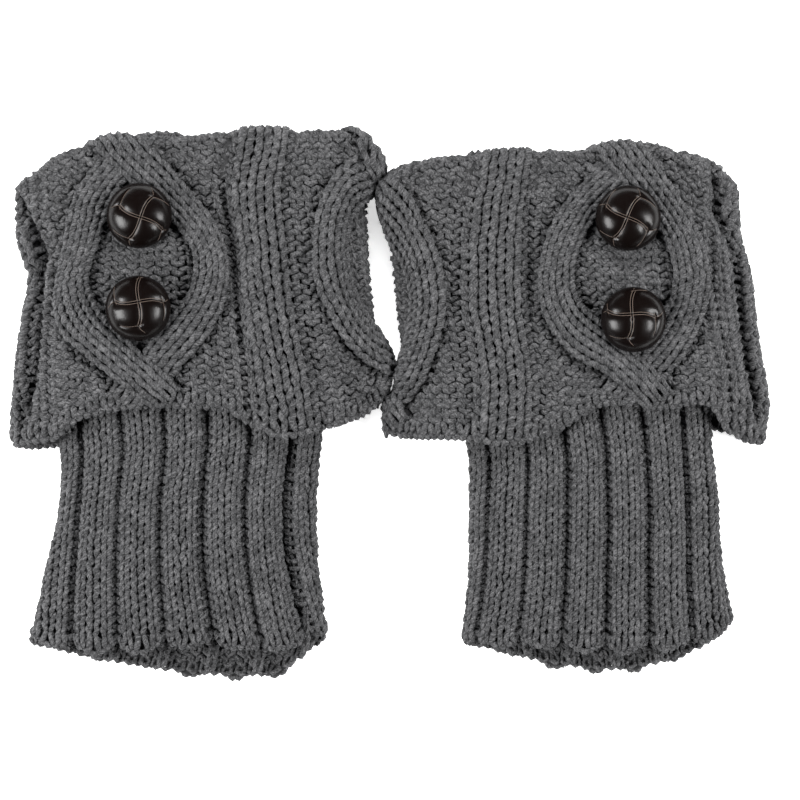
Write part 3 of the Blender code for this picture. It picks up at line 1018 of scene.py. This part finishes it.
def painted_shade_base_material(name, shade):
    """The same wool seen deep between the stitches, coloured darker than the yarn as painted shade in the gaps."""
    look = Look(name, {"Roughness": 0.97, "Specular IOR Level": 0.15})
    noise = look.noise(900)
    look.colour(noise, (0.3, grey(shade * 0.7)), (0.7, grey(shade * 1.2)))
    look.bump(noise, 0.6, 0.0004)
    return look.material


def leather_material():
    """Dark brown leather, waxed over a fine grain."""
    look = Look("dark_brown_leather", {
        "Base Color": (0.0022, 0.0013, 0.0011, 1), "Roughness": 0.27, "Specular IOR Level": 0.17,
    })
    look.bump(look.add("TexVoronoi", "Distance", {"Scale": 2100, "Vector": look.place()}), 0.16, 0.0001)
    return look.material


# ---------------- putting it together

YARN = yarn_material("grey_yarn", 0.042)
FIBRES = fibre_material("grey_fibres", 0.055)
# painted shade: the cloth behind the stitches gets a darker grey than the yarn, for the shade deep between them
BASE_PAINTED_SHADE = painted_shade_base_material("grey_base_painted_shade", 0.024)
LEATHER = leather_material()
LEATHER_EDGE = Look("cut_leather_edge", {"Base Color": (0.062, 0.044, 0.034, 1), "Roughness": 0.7}).material


def finish_piece(piece, material):
    piece.data.materials.clear()
    piece.data.materials.append(material)
    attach(piece, "root")
    return piece


def build_stitches(name, yarns, hairs, seed):
    """Builds these yarns' meshes, and the fibres on them: so many on each."""
    stitches = [finish_piece(yarn.build(), YARN) for yarn in yarns]
    return [*stitches, finish_piece(fuzz(name, yarns, hairs, seed + 20), FIBRES)]


def make_flap(side, seed):
    """The cloth behind one flap's stitches, and the stitches with their fibres."""
    cloth, turn_of = flap_cloth(side), partial(flap_turn, side)
    turn = float(LAYS[side]["flap"].at(0.5, "turn"))
    first = round(0.5 - FLAP_WALES * turn)
    middle, last = first + FLAP_WALES // 2 + 1, first + FLAP_WALES
    rows = math.ceil(FLAP_COURSES + FOLD_COURSES)
    every = rows + 3
    hem = hem_row(
        f"{side}_flap_hem", cloth, turn_of, FLAP_WALES, flap_lift, lambda across: 0.28, 1.7, seed + 3, FLAP_HEM_RADIUS
    )
    yarns = [
        ground(f"{side}_flap_front_stitches", side, cloth, first, middle, FRONT_DETAIL, seed, (1, rows)),
        ground(f"{side}_flap_back_stitches", side, cloth, middle, last, BACK_DETAIL, seed + 1, (1, rows)),
        ground(f"{side}_flap_inner_stitches", side, cloth, first, last, INNER_DETAIL, seed + 2, (rows, every)),
        strands(f"{side}_cable_strands", side, cloth, FRONT_DETAIL, seed + 10, (1, every)),
        hem,
    ]
    hairs = (11000, 3500, 500, 10000, 3500)
    stitches = build_stitches(f"{side}_flap_fibres", yarns, hairs, seed)
    levels = [*np.linspace(0.0, FLAP_COURSES, 28), *cloth.courses[cloth.courses > FLAP_COURSES]]
    base = base_cloth(
        f"{side}_flap_cloth", flap_cloth(side, BASE_CREASE_WIDEN), FLAP_WALES, turn_of, backing_lift,
        lambda across: 0.3, levels, FLAP_BASE_DEPTH
    )
    finish_piece(base, BASE_PAINTED_SHADE)
    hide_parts(f"{side}_cable_flap")
    return base, stitches


def make_leg(side, seed):
    """The cloth behind one leg's stitches, and the stitches with their fibres."""
    cloth, turn_of, lift = rib_cloth(side), partial(rib_turn, side), partial(rib_lift, side)
    turn = float(LAYS[side]["rib"].at(0.75, "turn"))
    first = 4 * round(-RIBS * turn)
    middle, last = first + 2 * RIBS, first + 4 * RIBS
    shown = RIB_COURSES_SHOWN
    hem = hem_row(
        f"{side}_leg_hem", cloth, turn_of, 4 * RIBS, lift, partial(rib_drop, side), 1.2, seed + 2, LEG_HEM_RADIUS
    )
    if side == "right":
        tail = Table("t x y z", *YARN_TAIL)
        t = np.linspace(0, 1, 40)
        hem.add(np.stack([tail.at(t, name) for name in "xyz"], 1), np.array([0.1, 0.2, 1.0]), 0.45)
    yarns = [
        ribbing(f"{side}_leg_front_stitches", side, cloth, first, middle, FRONT_DETAIL, seed, (1, shown)),
        ribbing(f"{side}_leg_back_stitches", side, cloth, middle, last, BACK_DETAIL, seed + 1, (1, shown)),
        ribbing(f"{side}_leg_inner_stitches", side, cloth, first, last, INNER_DETAIL, seed + 3, (0, 4), LEG_INSET),
        hem,
    ]
    stitches = build_stitches(f"{side}_leg_fibres", yarns, (11000, 4000, 1000, 3000), seed)
    levels = [*np.linspace(0, RIB_COURSES - 2, 31), RIB_COURSES - 0.5]
    base = base_cloth(
        f"{side}_leg_cloth", cloth, 4 * RIBS, turn_of, lift, lambda across: rib_drop(side, across) + 0.1, levels,
        LEG_BASE_DEPTH
    )
    finish_piece(base, BASE_PAINTED_SHADE)
    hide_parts(f"{side}_ribbed_leg")
    return base, stitches


# ---------------- stage


def make_stage():
    """A bright floor that the pair lies on."""
    bpy.ops.mesh.primitive_plane_add(size=6, location=(0, 0, -0.0004))
    floor = bpy.context.object
    floor.name = "pale_floor"
    look = Look("pale_floor", {
        "Base Color": (0.93, 0.93, 0.93, 1), "Roughness": 0.9,
        "Emission Color": (1, 1, 1, 1), "Emission Strength": 0.62,
    })
    floor.data.materials.append(look.material)


def make_lights():
    """Soft lights on both sides and above, in watts. The last one isn't mirrored in the buttons."""
    world = bpy.data.worlds.new("studio")
    bpy.context.scene.world = world
    world.use_nodes = True
    background = world.node_tree.nodes["Background"]
    background.inputs["Color"].default_value = (1, 1, 1, 1)
    background.inputs["Strength"].default_value = 0.06
    for name, place, size, power in (
        ("left_softbox", (-0.95, -0.16, 0.66), (0.62, 0.5), 30.0),
        ("right_softbox", (0.95, -0.12, 0.66), (0.62, 0.5), 25.0),
        ("top_softbox", (0.0, 1.05, 0.85), (1.2, 0.5), 30.0),
    ):
        light = bpy.data.lights.new(name, "AREA")
        light.shape = "RECTANGLE"
        light.size, light.size_y = size
        light.energy = power
        lamp = bpy.data.objects.new(name, light)
        lamp.visible_glossy = name != "top_softbox"
        lamp.location = place
        lamp.rotation_mode = "QUATERNION"
        lamp.rotation_quaternion = (-Vector(place)).to_track_quat("-Z", "Y")
        bpy.context.scene.collection.objects.link(lamp)


def make_camera():
    """Straight above the pair, with a long lens."""
    camera = bpy.data.cameras.new("camera")
    camera.sensor_width = 36
    distance, view_width = 1.6, 0.308
    camera.lens = camera.sensor_width * distance / view_width
    camera.clip_end = 20
    rig = bpy.data.objects.new("camera", camera)
    rig.location = (0.0035, 0.0006, distance + 0.012)
    bpy.context.scene.collection.objects.link(rig)
    bpy.context.scene.camera = rig
    bpy.context.scene.view_settings.view_transform = "Standard"


make_stage()
make_lights()
make_camera()
for side, seed in (("left", 11), ("right", 47)):
    flap, flap_stitches = make_flap(side, seed)
    leg, leg_stitches = make_leg(side, seed + 30)

for side, place, tilt, centre in (
    ("left", "upper", -26, (1.0, -1.0)),
    ("left", "lower", 3, (0.7, 2.4)),
    ("right", "upper", -29, (-0.8, 0.0)),
    ("right", "lower", -4, (-1.0, 2.0)),
):
    dome, edges = make_button(side, place, math.radians(tilt), centre)
    finish_piece(dome, LEATHER)
    finish_piece(edges, LEATHER_EDGE)
    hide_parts(f"{side}_{place}_button")
